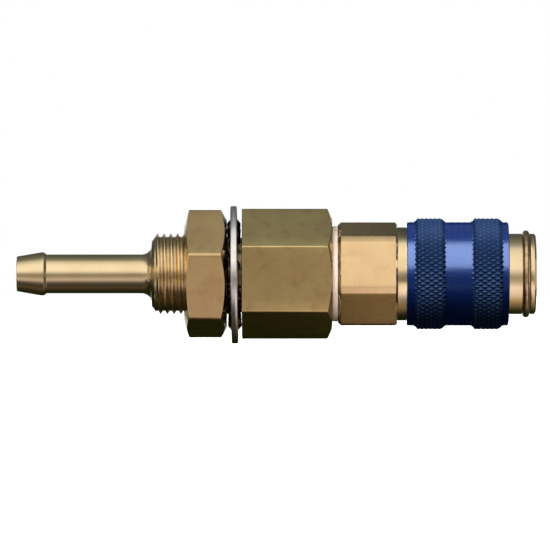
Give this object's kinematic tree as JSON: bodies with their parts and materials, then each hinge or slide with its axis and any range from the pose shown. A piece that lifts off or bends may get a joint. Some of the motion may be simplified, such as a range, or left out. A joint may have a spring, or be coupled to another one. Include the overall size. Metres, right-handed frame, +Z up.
{
  "type": "quick coupling",
  "caption": "Brass bulkhead quick coupling with hose tail, lock nut and toothed washer; a blue knurled sleeve locks the plug with balls and a valve shuts off the flow.",
  "frame": {"origin": "on the axis, in the face of the large hexagon that bears on the panel", "axes": "+X along the axis towards the plug's mouth, hose tail at -X; +Z up as in the picture"},
  "size_m": [0.0772, 0.0204, 0.0205],
  "materials": {
    "brass": "turned and drawn, unplated",
    "blue_anodised": "knurled, anodised blue",
    "washer_steel": "zinc plated",
    "spring_steel": "drawn wire",
    "ball_steel": "polished",
    "white_seal": "moulded",
    "black_rubber": "moulded"
  },
  "bodies": {
    "body": {"bulkhead_body": "brass", "sealing_ring": "white_seal", "rear_adapter": "brass", "housing": "brass", "housing_oring": "black_rubber", "plug_oring": "black_rubber", "snap_ring": "spring_steel", "valve_spring": "spring_steel", "sleeve_spring": "spring_steel"},
    "washer": {"lock_washer": "washer_steel"},
    "nut": {"lock_nut": "brass"},
    "locking_sleeve": {"sleeve": "blue_anodised"},
    "shut_off_valve": {"valve": "brass", "valve_oring": "black_rubber"},
    "ball_1": {"lock_ball_1": "ball_steel"},
    "ball_2": {"lock_ball_2": "ball_steel"},
    "ball_3": {"lock_ball_3": "ball_steel"},
    "ball_4": {"lock_ball_4": "ball_steel"},
    "ball_5": {"lock_ball_5": "ball_steel"},
    "ball_6": {"lock_ball_6": "ball_steel"}
  },
  "joints": [
    {"name": "sleeve_slide", "type": "slide", "parent": "body", "child": "locking_sleeve", "axis": [1, 0, 0], "range_m": [0, 0.002], "stiffness_N_per_m": 200, "springref_m": 0.01, "deforming": ["sleeve_spring"]},
    {"name": "valve_slide", "type": "slide", "parent": "body", "child": "shut_off_valve", "axis": [-1, 0, 0], "range_m": [0, 0.0035], "stiffness_N_per_m": 300, "springref_m": -0.012, "deforming": ["valve_spring"]},
    {"name": "washer_slide", "type": "slide", "parent": "body", "child": "washer", "axis": [1, 0, 0], "range_m": [-0.004, 0]},
    {"name": "nut_turn", "type": "hinge", "parent": "washer", "child": "nut", "pos_m": [0, 0, 0], "axis": [1, 0, 0], "range_deg": [-1440, 0]},
    {"name": "ball_1_slide", "type": "slide", "parent": "body", "child": "ball_1", "axis": [0, 0, -1], "range_m": [0, 0.0008]},
    {"name": "ball_2_slide", "type": "slide", "parent": "body", "child": "ball_2", "axis": [0, -0.866, -0.5], "range_m": [0, 0.0008]},
    {"name": "ball_3_slide", "type": "slide", "parent": "body", "child": "ball_3", "axis": [0, -0.866, 0.5], "range_m": [0, 0.0008]},
    {"name": "ball_4_slide", "type": "slide", "parent": "body", "child": "ball_4", "axis": [0, 0, 1], "range_m": [0, 0.0008]},
    {"name": "ball_5_slide", "type": "slide", "parent": "body", "child": "ball_5", "axis": [0, 0.866, 0.5], "range_m": [0, 0.0008]},
    {"name": "ball_6_slide", "type": "slide", "parent": "body", "child": "ball_6", "axis": [0, 0.866, -0.5], "range_m": [0, 0.0008]}
  ],
  "couplings": [
    {"joint": "valve_slide", "follows": "sleeve_slide", "ratio": 1.75},
    {"joint": "washer_slide", "follows": "nut_turn", "m_per_rad": 0.00015915},
    {"joint": "ball_1_slide", "follows": "sleeve_slide", "ratio": 0.4},
    {"joint": "ball_2_slide", "follows": "sleeve_slide", "ratio": 0.4},
    {"joint": "ball_3_slide", "follows": "sleeve_slide", "ratio": 0.4},
    {"joint": "ball_4_slide", "follows": "sleeve_slide", "ratio": 0.4},
    {"joint": "ball_5_slide", "follows": "sleeve_slide", "ratio": 0.4},
    {"joint": "ball_6_slide", "follows": "sleeve_slide", "ratio": 0.4}
  ]
}
